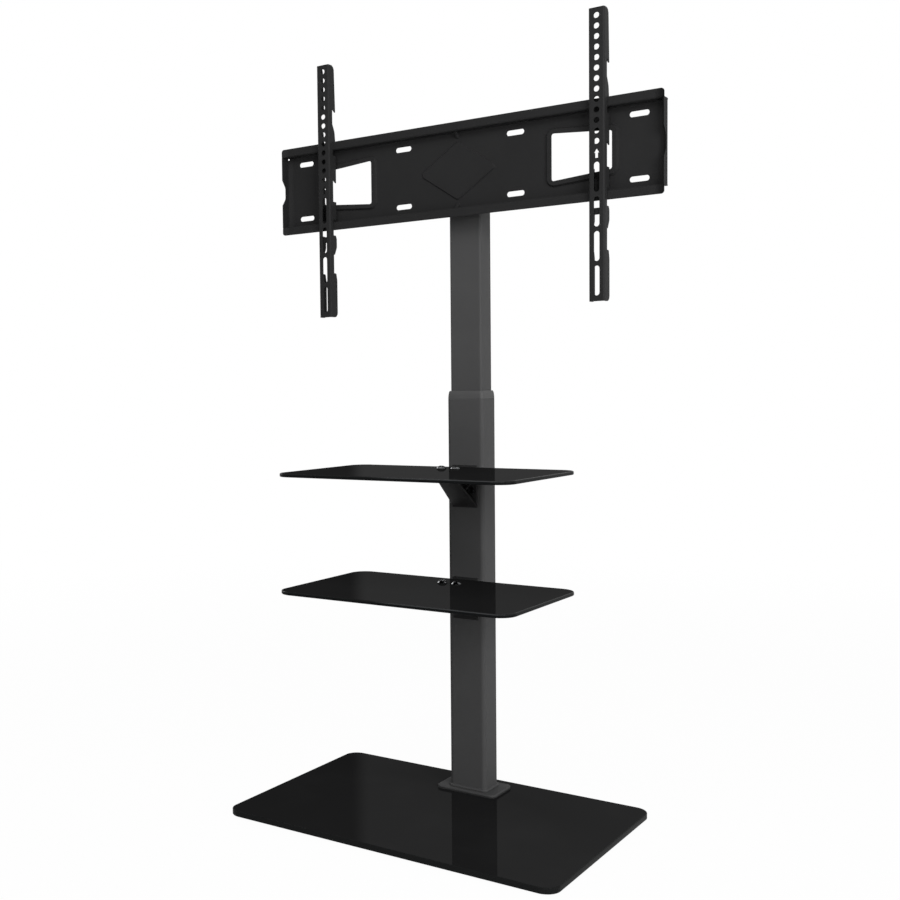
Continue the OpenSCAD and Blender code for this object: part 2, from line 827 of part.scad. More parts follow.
// Hat section of the plate in Y and Z, with both lips and the tray between them
module hat_section() {
    f = -plate_front;
    b = f + plate_t;
    top = plate_h / 2;
    polygon(rounded([
        [f, top], [f, wall_in_h / 2], [-floor_y, wall_in_h / 2],
        [-floor_y, -wall_in_h / 2], [f, -wall_in_h / 2], [f, -top],
        [b, -top], [b, -wall_out_h / 2], [-plate_back_y, -wall_out_h / 2],
        [-plate_back_y, wall_out_h / 2], [b, wall_out_h / 2], [b, top]
    ], [
        0, lip_bend_r, floor_bend_r, floor_bend_r, lip_bend_r, 0,
        0, lip_bend_r - plate_t, floor_bend_r + plate_t, floor_bend_r + plate_t, lip_bend_r - plate_t, 0
    ]));
}

// Section of an end flange in X and Y: the floor bends forward to the lip plane
module end_section() {
    x0 = plate_w / 2 - end_bend_r;
    x1 = plate_w / 2;
    polygon(rounded([
        [x0, -floor_y], [x1 - plate_t, -floor_y], [x1 - plate_t, -plate_front],
        [x1, -plate_front], [x1, -plate_back_y], [x0, -plate_back_y]
    ], [0, end_bend_r - plate_t, 0, 0, end_bend_r, 0]));
}

module end_flange() {
    waist = -plate_front + waist_cut;
    difference() {
        translate([0, 0, -wall_in_h / 2 - plate_t / 2]) linear_extrude(wall_in_h + plate_t) end_section();
        translate([plate_w / 2, 0, 0]) along_x(4 * end_bend_r) polygon(rounded([
            [-plate_front - over, waist_mouth_h / 2], [-plate_front, waist_mouth_h / 2],
            [waist, waist_floor_h / 2], [waist, -waist_floor_h / 2],
            [-plate_front, -waist_mouth_h / 2], [-plate_front - over, -waist_mouth_h / 2]
        ], [0, 0, waist_cut, waist_cut, 0, 0]));
    }
}

// Window outline in X and Z, grown by a margin on every side
function window_pts(grow) = [
    [window_inner_x - grow, window_inner_h / 2 + grow], [window_inner_x - grow, -window_inner_h / 2 - grow],
    [window_outer_x + grow, -window_outer_h / 2 - grow], [window_outer_x + grow, window_outer_h / 2 + grow]
];

// A flat shape in X and Z that runs forward from the middle of the tray's floor
module from_floor(depth) {
    translate([0, plate_t / 2 - floor_y, 0]) rotate([90, 0, 0])
        linear_extrude(plate_t / 2 + depth) children();
}

// A block between two outlines of the window, at two distances from the axis
module window_block(grow_back, y_back, grow_front, y_front) {
    hull() for (end = [[grow_back, y_back], [grow_front, y_front]])
        translate([0, -end[1] + slice, 0]) rotate([90, 0, 0]) linear_extrude(slice)
            polygon(rounded(window_pts(end[0]), [for (i = [0 : 3]) window_r + end[0]]));
}

// The sheet round a window is pressed forward: a flat rim with a bevel behind it
module window_rim() {
    window_block(rim_flat + rim_bevel, floor_y - plate_t / 2, rim_flat + rim_bevel, floor_y);
    window_block(rim_flat + rim_bevel, floor_y, rim_flat, floor_y + rim_h);
}

// The hollow behind the rim leaves the sheet its thickness
module window_hollow() {
    skin = plate_t * sqrt(rim_h * rim_h + rim_bevel * rim_bevel) / rim_h;
    grow_top = rim_flat + rim_bevel * plate_t / rim_h - skin;
    grow_back = rim_flat + rim_bevel * (rim_h + plate_t) / rim_h - skin;
    window_block(grow_back, plate_back_y - slice, grow_top, floor_y + rim_h - plate_t);
}

module raised_panel() {
    hull() {
        from_floor(slice) polygon(rounded([
            [panel_half_w, 0], [0, panel_half_h], [-panel_half_w, 0], [0, -panel_half_h]
        ], [for (i = [0 : 3]) panel_r]));
        from_floor(panel_h) polygon(rounded([
            [panel_half_w - panel_slope, 0], [0, panel_half_h - panel_slope],
            [panel_slope - panel_half_w, 0], [0, panel_slope - panel_half_h]
        ], [for (i = [0 : 3]) panel_r]));
    }
}

// Small pressed ribs stiffen the bends above and below the raised panel
module bend_ribs() {
    wedge = rib_leg - rib_r;
    root = plate_t / 2;
    for (t = [0, 1]) mirror([0, 0, t]) translate([0, -floor_y, wall_in_h / 2]) intersection() {
        translate([-2 * rib_r, -rib_leg, -rib_leg]) cube([4 * rib_r, rib_leg + root, rib_leg + root]);
        union() {
            translate([0, -wedge / 2, -wedge / 2]) rotate([45, 0, 0])
                cylinder(r = rib_r, h = 3 * rib_leg, center = true);
            along_x(1.5 * rib_r) polygon([[root, root], [root, -wedge - root], [-wedge - root, root]]);
        }
    }
}

module wall_slots() {
    for (sx = [-1, 1], x = [inner_slot_x, plate_w / 2 - outer_slot_inset], sz = [-1, 1])
        translate([sx * x, -plate_back_y + over, sz * slot_rows / 2]) rotate([90, 0, 0])
            linear_extrude(plate_t + 2 * over) slot_outline(wall_slot_len, wall_slot_w);
}

// The tray's floor ends where the end flanges begin their bend
module floor_end_cut() {
    for (s = [-1, 1])
        translate([s * (plate_w - end_bend_r + over) / 2, -floor_y, 0])
            cube([end_bend_r + over, 2 * plate_t + 2 * over, wall_in_h], center = true);
}

module relief_holes() {
    for (sx = [-1, 1], sz = [-1, 1])
        translate([sx * (plate_w / 2 - relief_inset), -floor_y - plate_t, sz * wall_in_h / 2])
            along_y(relief_r, 3 * plate_t);
}

module lip_corner_cuts() {
    for (s = [0, 1], t = [0, 1]) mirror([s, 0, 0]) mirror([0, 0, t])
        translate([plate_w / 2 - lip_corner_r, 0, plate_h / 2 - lip_corner_r]) rotate([90, 0, 0])
            linear_extrude(plate_front + over) difference() {
                square(lip_corner_r + over);
                circle(lip_corner_r);
            }
}

module mount_plate() {
    color(steel_grey) at_plate() difference() {
        union() {
            difference() {
                along_x(plate_w) hat_section();
                floor_end_cut();
            }
            for (s = [0, 1]) mirror([s, 0, 0]) {
                end_flange();
                window_rim();
            }
            raised_panel();
            bend_ribs();
        }
        for (s = [0, 1]) mirror([s, 0, 0]) {
            window_hollow();
            translate([0, plate_t + over, 0]) from_floor(plate_t + rim_h + 2 * over)
                polygon(rounded(window_pts(0), [for (i = [0 : 3]) window_r]));
        }
        wall_slots();
        relief_holes();
        lip_corner_cuts();
    }
}

// Screen arms

// Plan of the channel in X and Y: a web in front and two flanges behind it
module channel_plan() {
    w = arm_w / 2;
    f = -arm_front_y;
    b = f + arm_depth;
    polygon(rounded([
        [-w, b], [-w, f], [w, f], [w, b],
        [w - arm_t, b], [w - arm_t, f + arm_t], [arm_t - w, f + arm_t], [arm_t - w, b]
    ], [0, arm_bend_r, arm_bend_r, 0, 0, arm_bend_r - arm_t, arm_bend_r - arm_t, 0]));
}

// Side outline of the flanges in Y and Z, with the hook over the upper lip
module flange_outline() {
    f = -arm_front_y;
    full = f + arm_depth;
    thin = f + narrow_depth;
    hook = f + hook_back_depth;
    polygon(rounded([
        [f, arm_foot_h], [f, arm_top_h], [full - fin_slant, arm_top_h],
        [full, upper_notch_top_h - barb], [thin, upper_notch_top_h + barb], [thin, upper_notch_foot_h],
        [full - fin_slant, upper_notch_foot_h - fin_crest], [full, hook_tip_h], [hook, hook_tip_h],
        [hook, lip_top_h + lip_gap], [thin, lip_top_h + lip_gap], [thin, throat_foot_h],
        [full, throat_foot_h], [full, middle_notch_top_h - barb], [thin, middle_notch_top_h + barb],
        [thin, middle_notch_foot_h], [full, middle_notch_foot_h], [full, lower_tab_foot_h],
        [thin, lower_tab_foot_h], [thin, fin_top_h], [full - fin_slant, fin_top_h],
        [full + fin_bulge, fin_top_h - fin_crest], [thin + fin_slant, fin_foot_h],
        [thin, fin_foot_h], [thin, lower_notch_foot_h],
        [full - fin_slant, lower_notch_foot_h], [full, lower_notch_foot_h - fin_crest],
        [full, arm_foot_h]
    ], [
        0, 0, arm_end_r,
        small_r / 2, small_r / 2, small_r,
        fin_r, small_r / 2, small_r,
        small_r / 2, small_r / 2, small_r,
        tab_r / 2, small_r / 2, small_r / 2,
        small_r, small_r, tab_r / 2,
        small_r, small_r, small_r,
        fin_r, small_r,
        small_r, small_r,
        tab_r / 2, fin_r,
        arm_end_r
    ]));
}

module arm_cut(depth_y, z) {
    translate([0, -arm_front_y + depth_y, z]) rotate([90, 0, 0]) linear_extrude(depth_y + over) children();
}

module arrow_outline() {
    polygon([
        [-arrow_stem_w / 2, -arrow_h / 2], [arrow_stem_w / 2, -arrow_h / 2],
        [arrow_stem_w / 2, arrow_h / 2 - arrow_head_h], [arrow_head_w / 2, arrow_h / 2 - arrow_head_h],
        [0, arrow_h / 2], [-arrow_head_w / 2, arrow_h / 2 - arrow_head_h],
        [-arrow_stem_w / 2, arrow_h / 2 - arrow_head_h]
    ]);
}

// A short cross bar joins the flanges behind the web, under the lower lip
module cross_bar() {
    translate([-arm_w / 2 + arm_t / 2, -arm_front_y + bar_depth, bar_foot_h])
        cube([arm_w - arm_t, arm_t, bar_len]);
}

module arm(x) {
    cut_depth = arm_t + over;
    color(steel_grey) at_plate() translate([x, 0, 0]) {
        difference() {
            intersection() {
                translate([0, 0, arm_foot_h]) linear_extrude(arm_len) channel_plan();
                along_x(arm_w + 2 * over) flange_outline();
            }
            for (i = [0 : arm_hole_count - 1])
                arm_cut(cut_depth, arm_top_h - arm_hole_top - i * arm_hole_pitch) circle(arm_hole_d / 2);
            for (i = [0 : arm_slot_count - 1])
                arm_cut(cut_depth, arm_foot_h + arm_slot_foot + i * arm_slot_pitch)
                    rotate(90) slot_outline(arm_slot_len, arm_hole_d);
            arm_cut(cut_depth, arrow_z) arrow_outline();
        }
        cross_bar();
    }
}

module arm_left() {
    arm(-arm_x);
}

module arm_right() {
    arm(arm_x);
}

base_glass();
base_feet();
under_plate();
under_gasket();
foot_gasket();
foot_flange();
anchor_block();
base_bolts();
lower_column();
guide_sleeve();
clamp_nuts();
clamp_screws();
shelf_glass(upper_shelf_z);  // upper_shelf_glass
shelf_bracket(upper_shelf_z);  // upper_shelf_bracket
shelf_pad(upper_shelf_z);  // upper_shelf_pad
shelf_screws(upper_shelf_z);  // upper_shelf_screws
shelf_washers(upper_shelf_z);  // upper_shelf_washers
shelf_nuts(upper_shelf_z);  // upper_shelf_nuts
bar_screws(upper_shelf_z);  // upper_bar_screws
nut_strip(upper_shelf_z);  // upper_nut_strip
shelf_glass(lower_shelf_z);  // lower_shelf_glass
shelf_bracket(lower_shelf_z);  // lower_shelf_bracket
shelf_pad(lower_shelf_z);  // lower_shelf_pad
shelf_screws(lower_shelf_z);  // lower_shelf_screws
shelf_washers(lower_shelf_z);  // lower_shelf_washers
shelf_nuts(lower_shelf_z);  // lower_shelf_nuts
bar_screws(lower_shelf_z);  // lower_bar_screws
nut_strip(lower_shelf_z);  // lower_nut_strip
upper_column();
column_cap();
column_shoe();
column_lugs();
swivel_pin();
swivel_nut();
slip_washers();
steel_washers();
mount_plate();
plate_lugs();
arm_left();
arm_right();
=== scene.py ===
# Floor stand for a flat screen: glass base, telescoping column with two glass
# shelves, and a swivelling mount plate with two screen arms. Metres, +Z up, +Y to
# the back. The origin is the middle of the base at floor level.
import math

import bmesh
import bpy
from mathutils import Matrix, Vector


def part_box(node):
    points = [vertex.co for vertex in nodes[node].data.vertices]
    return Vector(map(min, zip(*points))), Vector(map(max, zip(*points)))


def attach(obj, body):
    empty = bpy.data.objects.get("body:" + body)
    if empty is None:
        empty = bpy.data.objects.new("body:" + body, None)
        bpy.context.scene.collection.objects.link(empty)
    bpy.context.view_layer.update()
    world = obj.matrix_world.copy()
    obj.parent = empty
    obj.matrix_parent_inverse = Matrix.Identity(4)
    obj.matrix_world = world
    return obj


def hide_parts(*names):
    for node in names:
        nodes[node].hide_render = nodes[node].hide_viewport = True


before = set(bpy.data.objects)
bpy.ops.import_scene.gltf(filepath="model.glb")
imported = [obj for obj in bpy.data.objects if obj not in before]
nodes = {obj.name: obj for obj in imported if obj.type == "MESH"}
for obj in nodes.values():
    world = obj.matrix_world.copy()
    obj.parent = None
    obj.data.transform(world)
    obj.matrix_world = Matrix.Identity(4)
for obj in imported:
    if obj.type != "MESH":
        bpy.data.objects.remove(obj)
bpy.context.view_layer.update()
mm = 0.001


# --- Glass base ---------------------------------------------------------------
# A sheet of toughened glass, painted black on its back, with ground and
# polished edges. It lies on four rubber feet and carries the column.

class Strand:
    """A value on its way through a material's nodes, so sums on it read as sums."""

    def __init__(self, tree, socket=None):
        self.tree = tree
        self.socket = socket

    def node(self, kind, settings=None, inputs=None, output=0):
        """Adds a node: its settings first, then the values or links of its sockets."""
        made = self.tree.nodes.new("ShaderNode" + kind)
        for name, value in (settings or {}).items():
            setattr(made, name, value)
        for name, value in (inputs or {}).items():
            if isinstance(value, Strand):
                self.tree.links.new(value.socket, made.inputs[name])
            else:
                made.inputs[name].default_value = value
        return Strand(self.tree, made.outputs[output] if made.outputs else None)

    def maths(self, operation, first, second=0.0):
        return self.node("Math", {"operation": operation}, {0: first, 1: second})

    def __add__(self, other):
        return self.maths("ADD", self, other)

    def __radd__(self, other):
        return self.maths("ADD", other, self)

    def __sub__(self, other):
        return self.maths("SUBTRACT", self, other)

    def __rsub__(self, other):
        return self.maths("SUBTRACT", other, self)

    def __mul__(self, other):
        return self.maths("MULTIPLY", self, other)

    def __rmul__(self, other):
        return self.maths("MULTIPLY", other, self)

    def __truediv__(self, other):
        return self.maths("DIVIDE", self, other)

    def __rtruediv__(self, other):
        return self.maths("DIVIDE", other, self)

    def __abs__(self):
        return self.maths("ABSOLUTE", self)

    def larger(self, other):
        return self.maths("MAXIMUM", self, other)

    def between(self, low, high):
        """0 below low and 1 above high, with a smooth step from one to the other."""
        return self.node("MapRange", {"interpolation_type": "SMOOTHSTEP"},
                         {"Value": self, "From Min": low, "From Max": high})

    def tint(self, first, second):
        """The first colour where this mask is 0, the second where it is 1."""
        first, second = (colour if isinstance(colour, Strand) else (*colour, 1.0)
                         for colour in (first, second))
        # A Mix node's colours have no names of their own: sockets 6 and 7, output 2.
        return self.node("Mix", {"data_type": "RGBA"}, {0: self, 6: first, 7: second}, output=2)


def new_finish(name):
    """An empty material, a strand to start its nodes from, and the place on the object."""
    material = bpy.data.materials.new(name)
    material.use_nodes = True
    material.node_tree.nodes.clear()
    start = Strand(material.node_tree)
    place = start.node("TexCoord", output="Object")
    return material, start, place


def coat_surface(start, colour, roughness, bump=None, **constants):
    """The shader of a finish: what varies over it first, then its constants."""
    inputs = {"Base Color": colour, "Roughness": roughness}
    if bump:
        inputs["Normal"] = bump
    inputs.update({name.replace("_", " "): value for name, value in constants.items()})
    shader = start.node("BsdfPrincipled", inputs=inputs)
    start.node("OutputMaterial", inputs={"Surface": shader})


def noise(place, scale, detail=2.0, roughness=0.5):
    """Cloudy noise from 0 to 1. The scale is in clouds a metre."""
    return place.node("TexNoise", inputs={
        "Vector": place, "Scale": scale, "Detail": detail, "Roughness": roughness})


def relief(height, strength, depth, over=None):
    """The normals of a surface that stands up by depth where height is 1."""
    inputs = {"Strength": strength, "Distance": depth, "Height": height}
    if over:
        inputs["Normal"] = over
    return height.node("Bump", inputs=inputs)


def black_glass():
    """Near-black gloss. The painted back is even, the polish has a faint haze of dust."""
    material, start, place = new_finish("black_glass")
    haze = noise(place, scale=9.0, detail=4.0).between(0.45, 0.75)
    specks = noise(place, scale=1400.0, detail=1.0).between(0.72, 0.80)
    clean, dusty = (0.0119, 0.0119, 0.0121), (0.0163, 0.0164, 0.0167)
    colour = (haze * 0.35 + specks * 0.4).tint(clean, dusty)
    smear = noise(place, scale=24.0, detail=3.0).between(0.5, 0.8)
    wave = relief(noise(place, scale=18.0, detail=1.0), strength=0.02, depth=0.2 * mm)
    coat_surface(start, colour, 0.05 + smear * 0.06, wave, Specular_IOR_Level=0.0,
                 Coat_Weight=0.038, Coat_IOR=2.5, Coat_Roughness=0.02)
    return material


def edge_glass(name, shade, roughness, gloss, painted_highlight_colour=None):
    """A ground edge, matter than the faces, with the grinding's fine marks. Given a
    highlight colour, a stretch right of the middle is painted in it: a painted highlight."""
    material, start, place = new_finish(name)
    grind = noise(place, scale=700.0).between(0.35, 0.7)
    colour = grind.tint([c * 0.8 for c in shade], [c * 1.2 for c in shade])
    # Painted highlight: lighter from X = 20 to 180 mm, fading out towards -30 and 215 mm.
    if painted_highlight_colour:
        along = place.node("SeparateXYZ", inputs={"Vector": place}, output="X")
        painted_highlight_stretch = along.between(-30 * mm, 20 * mm) * (1.0 - along.between(180 * mm, 215 * mm))
        colour = painted_highlight_stretch.tint(colour, painted_highlight_colour)
    coat_surface(start, colour, roughness + grind * 0.06, Specular_IOR_Level=gloss)
    return material


def finish_piece(bm, name, body, finishes, replaced, crease=35.0):
    """Turns a bmesh into a piece that rides on a body and stands for a CAD node. It
    shades smooth, but for edges that turn by more than the crease, in degrees."""
    bmesh.ops.recalc_face_normals(bm, faces=bm.faces)
    mesh = bpy.data.meshes.new(name)
    bm.to_mesh(mesh)
    bm.free()
    for finish in finishes:
        mesh.materials.append(finish)
    mesh.shade_smooth()
    mesh.set_sharp_from_angle(angle=math.radians(crease))
    piece = bpy.data.objects.new(name, mesh)
    bpy.context.scene.collection.objects.link(piece)
    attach(piece, body)
    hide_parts(replaced)


def round_off(bm, geom, affect, offset, segments):
    """Rounds vertices or edges, as affect says, from an offset away."""
    bmesh.ops.bevel(bm, geom=geom, affect=affect, offset=offset, offset_type="OFFSET",
                    segments=segments, profile=0.5, material=-1)


def thicken(bm, way):
    """Draws a flat shape out into a solid, along a way."""
    drawn = bmesh.ops.extrude_face_region(bm, geom=bm.faces[:])
    ends = [v for v in drawn["geom"] if isinstance(v, bmesh.types.BMVert)]
    bmesh.ops.translate(bm, vec=way, verts=ends)


def rounded_sheet(width, depth, thickness, corner, steps):
    """A flat sheet about the origin, from z = 0 up, with round corners."""
    bm = bmesh.new()
    bmesh.ops.create_grid(bm, x_segments=1, y_segments=1, size=0.5)
    bmesh.ops.scale(bm, vec=(width, depth, 1.0), verts=bm.verts)
    round_off(bm, bm.verts[:], "VERTICES", corner, segments=steps)
    thicken(bm, (0.0, 0.0, thickness))
    return bm


def soften_rims(bm, width, segments):
    """Rounds the rims between a sheet's flat faces, which are its only faces with more
    than four corners, and its wall. A fine border keeps their reflections straight."""
    nearly_square, border = 0.2, 0.3 * mm
    bm.normal_update()
    rims = [e for e in bm.edges if len(e.link_faces) == 2
            and abs(e.link_faces[0].normal.dot(e.link_faces[1].normal)) < nearly_square
            and max(len(f.verts) for f in e.link_faces) > 4]
    round_off(bm, rims, "EDGES", width, segments)
    flats = [f for f in bm.faces if len(f.verts) > 4]
    bmesh.ops.inset_individual(bm, faces=flats, thickness=border, use_even_offset=True)
    bm.normal_update()


def glass_sheet(name, node, corner, rim, wall_finish, arris_finish):
    """A glass sheet in its node's box: glossy faces, a ground wall, and the rim round
    its top, the arris, in a finish of its own."""
    flat, leaning_up = 0.995, 0.04
    low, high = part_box(node)
    size = high - low
    bm = rounded_sheet(size.x, size.y, size.z, corner, steps=24)
    soften_rims(bm, rim, segments=4)
    for face in bm.faces:
        tilt = face.normal.z
        face.material_index = 0 if abs(tilt) > flat else 2 if tilt > leaning_up else 1
    bmesh.ops.translate(bm, vec=((low.x + high.x) / 2, (low.y + high.y) / 2, low.z),
                        verts=bm.verts)
    finish_piece(bm, name, "base", [glass_finish, wall_finish, arris_finish],
                 node)


glass_finish = black_glass()
base_edge_finish = edge_glass("base_glass_edge", (0.0090, 0.0092, 0.0094),
                              roughness=0.30, gloss=0.02)
base_corner, base_rim = 25 * mm, 1.2 * mm
glass_sheet("base_glass_sheet", "base_glass", base_corner, base_rim,
            base_edge_finish, base_edge_finish)


# --- Rubber feet and soft sheets ----------------------------------------------
# Four turned rubber feet are glued under the glass. Thin rubber sheets keep
# the steel plates off it, above and below.

def turned(profile, steps):
    """Spins (radius, height) points about Z. A point with a third value lies on a
    polygon with that many sides, with its radius at the corners."""
    digits = 6
    bm = bmesh.new()
    ring = [bm.verts.new((point[0], 0.0, point[1])) for point in profile]
    for first, second in zip(ring, ring[1:]):
        bm.edges.new((first, second))
    bmesh.ops.spin(bm, geom=bm.verts[:] + bm.edges[:], axis=(0, 0, 1), cent=(0, 0, 0),
                   steps=steps, angle=math.tau, use_merge=True)
    bmesh.ops.remove_doubles(bm, verts=bm.verts, dist=1e-6)
    flats = {(round(p[0], digits), round(p[1], digits)): p[2] for p in profile if len(p) > 2}
    for vert in bm.verts:
        radius = math.hypot(vert.co.x, vert.co.y)
        sides = flats.get((round(radius, digits), round(vert.co.z, digits)))
        if sides:
            half = math.pi / sides
            turn = math.atan2(vert.co.y, vert.co.x) % (2 * half) - half
            pull = math.cos(half) / math.cos(turn)
            vert.co.x *= pull
            vert.co.y *= pull
    return bm


def lay(bm, spot, lean=0):
    """Leans a turned shape about X, by 90 degrees to face the front or -90 to face the
    back, and moves it to its spot."""
    if lean:
        bmesh.ops.rotate(bm, matrix=Matrix.Rotation(math.radians(lean), 3, "X"), verts=bm.verts)
    bmesh.ops.translate(bm, vec=spot, verts=bm.verts)
    return bm


def gather(parts, name, body, finishes, replaced):
    """Joins like shapes into one piece."""
    whole = bmesh.new()
    for part in parts:
        shape = bpy.data.meshes.new("shape")
        bmesh.ops.recalc_face_normals(part, faces=part.faces)
        part.to_mesh(shape)
        part.free()
        whole.from_mesh(shape)
        bpy.data.meshes.remove(shape)
    finish_piece(whole, name, body, finishes, replaced)


def dress(finish, *names):
    """Gives CAD nodes whose shape is right their finish."""
    for name in names:
        nodes[name].data.materials.clear()
        nodes[name].data.materials.append(finish)


def rubber():
    """Matt black rubber with a fine moulded grain."""
    material, start, place = new_finish("rubber")
    grain = noise(place, scale=1200.0)
    cloudy = noise(place, scale=40.0, detail=3.0).between(0.35, 0.7)
    colour = cloudy.tint((0.014, 0.014, 0.0145), (0.022, 0.022, 0.0225))
    bump = relief(grain, strength=0.25, depth=0.1 * mm)
    coat_surface(start, colour, 0.72 + cloudy * 0.12, bump, Specular_IOR_Level=0.3)
    return material


rubber_finish = rubber()
low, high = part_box("base_feet")
foot_r, foot_h = 20 * mm, high.z - low.z
# From the middle of the sole over a shallow groove and a round edge up to the glass.
foot_profile = [
    (0.0, 0.0), (foot_r - 5 * mm, 0.0), (foot_r - 4.2 * mm, 0.6 * mm),
    (foot_r - 3.6 * mm, 0.6 * mm), (foot_r - 2.6 * mm, 0.0), (foot_r - 1.4 * mm, 0.15 * mm),
    (foot_r - 0.6 * mm, 0.8 * mm), (foot_r - 0.2 * mm, 2.0 * mm), (foot_r, foot_h - 1.5 * mm),
    (foot_r, foot_h - 0.4 * mm), (foot_r - 0.4 * mm, foot_h), (0.0, foot_h)]
foot_x, foot_y = high.x - foot_r, high.y - foot_r
feet = [lay(turned(foot_profile, steps=64), (side * foot_x, end * foot_y, low.z))
        for side in (-1, 1) for end in (-1, 1)]
gather(feet, "rubber_feet", "base", [rubber_finish], "base_feet")
dress(rubber_finish, "under_gasket", "foot_gasket", "upper_shelf_pad", "lower_shelf_pad")


# --- Steel column and its foot ------------------------------------------------
# Welded steel tube, powder coated in a matt dark grey. The lower tube stands
# on a flange, and a steel plate under the glass takes the bolts.

def powder_coat(name, shade, roughness, gloss, grain, edge, bend=None):
    """Baked powder: an orange-peel skin, faintly uneven in shade, that rounds the edges
    by a radius. For a sheet that folds forward at both ends, bend gives how far from the
    middle the folds begin and their radius."""
    material, start, place = new_finish(name)
    skin = noise(place, scale=grain, roughness=0.55)
    drift = noise(place, scale=14.0, detail=3.0).between(0.3, 0.7)
    flecks = noise(place, scale=2600.0, detail=1.0).between(0.66, 0.76)
    uneven = drift * 0.5 + flecks * 0.5
    colour = uneven.tint([c * 0.955 for c in shade], [c * 1.075 for c in shade])
    form = start.node("Bevel", {"samples": 6}, {"Radius": edge})
    if bend:
        begins, bend_r = bend
        out = place.node("SeparateXYZ", inputs={"Vector": place}, output="X")
        past = (abs(out) - begins).larger(0.0)
        form = relief(past * past / (2 * bend_r), strength=1.0, depth=1.0, over=form)
    bump = relief(skin, strength=0.22, depth=0.06 * mm, over=form)
    coat_surface(start, colour, roughness + drift * 0.05 + (skin - 0.5) * 0.1, bump,
                 Specular_IOR_Level=gloss)
    return material


column_coat = powder_coat("column_powder_coat", (0.0560, 0.0560, 0.0565),
                          roughness=0.60, gloss=0.06, grain=950.0, edge=4 * mm)
dress(column_coat, "lower_column", "upper_column", "under_plate", "column_lugs", "clamp_nuts")


def outline_ring(width, depth, corner, steps):
    """A closed loop of edges round a rectangle with round corners, evenly spaced. Each
    vertex's normal points straight out."""
    bm = bmesh.new()
    bmesh.ops.create_circle(bm, segments=steps, radius=1.0)
    straight_x, straight_y = width - 2 * corner, depth - 2 * corner
    bend = math.pi * corner / 2
    lap = 2 * (straight_x + straight_y) + 4 * bend
    runs = [straight_y, bend, straight_x, bend] * 2
    bm.verts.ensure_lookup_table()
    for i, vert in enumerate(bm.verts):
        left = lap * i / steps
        spot, facing = Vector((width / 2, -straight_y / 2)), 0.0
        for j, run in enumerate(runs):
            go = min(left, run)
            ahead = Vector((-math.sin(facing), math.cos(facing)))
            if j % 2 == 0:
                spot = spot + ahead * go
            else:
                middle = spot - Vector((math.cos(facing), math.sin(facing))) * corner
                facing += go / corner
                spot = middle + Vector((math.cos(facing), math.sin(facing))) * corner
            left -= go
            if left <= 1e-9:
                break
        vert.co = (spot.x, spot.y, 0.0)
        vert.normal = (math.cos(facing), math.sin(facing), 0.0)
    return bm


low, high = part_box("foot_flange")
tube_low, tube_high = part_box("lower_column")
axis_y = (tube_low.y + tube_high.y) / 2
flange_corner, flange_rim = 10 * mm, 0.8 * mm
flange_t = tube_low.z - low.z
flange = rounded_sheet(high.x - low.x, high.y - low.y, flange_t, flange_corner, steps=10)
soften_rims(flange, flange_rim, segments=3)
bmesh.ops.translate(flange, vec=(0.0, axis_y, low.z), verts=flange.verts)
finish_piece(flange, "foot_flange_plate", "base", [column_coat], "foot_flange")

tube_corner, weld_points = 7 * mm, 300
weld_leg = high.z - tube_low.z
ripple_depth, ripple_pitch = 0.05, 24 / 5
# The bead's section, in legs out from the tube and up from the flange. The ripples
# show on its face and die out towards its two edges.
bead = [(-0.6, 0.15), (0.35, 0.0), (0.92, 0.10), (0.86, 0.42),
        (0.55, 0.68), (0.30, 0.86), (0.08, 1.0), (-0.3, 0.95)]
weld = outline_ring(tube_high.x - tube_low.x, tube_high.y - tube_low.y, tube_corner, weld_points)
starts = [vert.co.copy() for vert in weld.verts]
facings = [vert.normal.copy() for vert in weld.verts]
loop_edges = weld.edges[:]
for step, (out, rise) in enumerate(bead):
    if step:
        drawn = bmesh.ops.extrude_edge_only(weld, edges=loop_edges)["geom"]
        loop_edges = [e for e in drawn if isinstance(e, bmesh.types.BMEdge)]
        weld.verts.ensure_lookup_table()
    for i, vert in enumerate(weld.verts[step * weld_points:(step + 1) * weld_points]):
        on_face = 0.2 < rise < 0.9
        swell = math.sin(i * math.tau / ripple_pitch) * on_face
        ripple = 1.0 + ripple_depth * swell
        vert.co = starts[i] + facings[i] * out * weld_leg * ripple
        vert.co.z = rise * weld_leg * (2 - ripple if rise > 0.5 else 1.0)
bmesh.ops.translate(weld, vec=(0.0, axis_y, tube_low.z), verts=weld.verts)
finish_piece(weld, "foot_weld", "base", [column_coat], "foot_flange", crease=60.0)


# --- Bolts of the foot --------------------------------------------------------
# Four countersunk bolts come up through the plate and the glass into a tapped
# block inside the column. They are zinc plated.

def zinc_plate(name, shade):
    """Zinc plate: a faint brushed and clouded surface."""
    material, start, place = new_finish(name)
    cloud = noise(place, scale=120.0, detail=4.0).between(0.3, 0.7)
    stretch = place.node("Mapping", inputs={"Vector": place, "Scale": (1.0, 1.0, 9.0)})
    brushed = noise(stretch, scale=500.0, detail=3.0)
    colour = cloud.tint([c * 0.86 for c in shade], shade)
    bump = relief(brushed, strength=0.12, depth=0.05 * mm)
    coat_surface(start, colour, 0.30 + cloud * 0.14, bump, Metallic=1.0)
    return material


zinc_finish = zinc_plate("zinc_plate", (0.56, 0.57, 0.58))
dress(zinc_finish, "base_bolts", "anchor_block", "upper_nut_strip", "lower_nut_strip")


# --- Guide sleeve and clamp ---------------------------------------------------
# A grey moulding closes the lower tube's mouth and guides the upper tube. Two
# socket screws in weld nuts at the back press on the tube and hold the height.

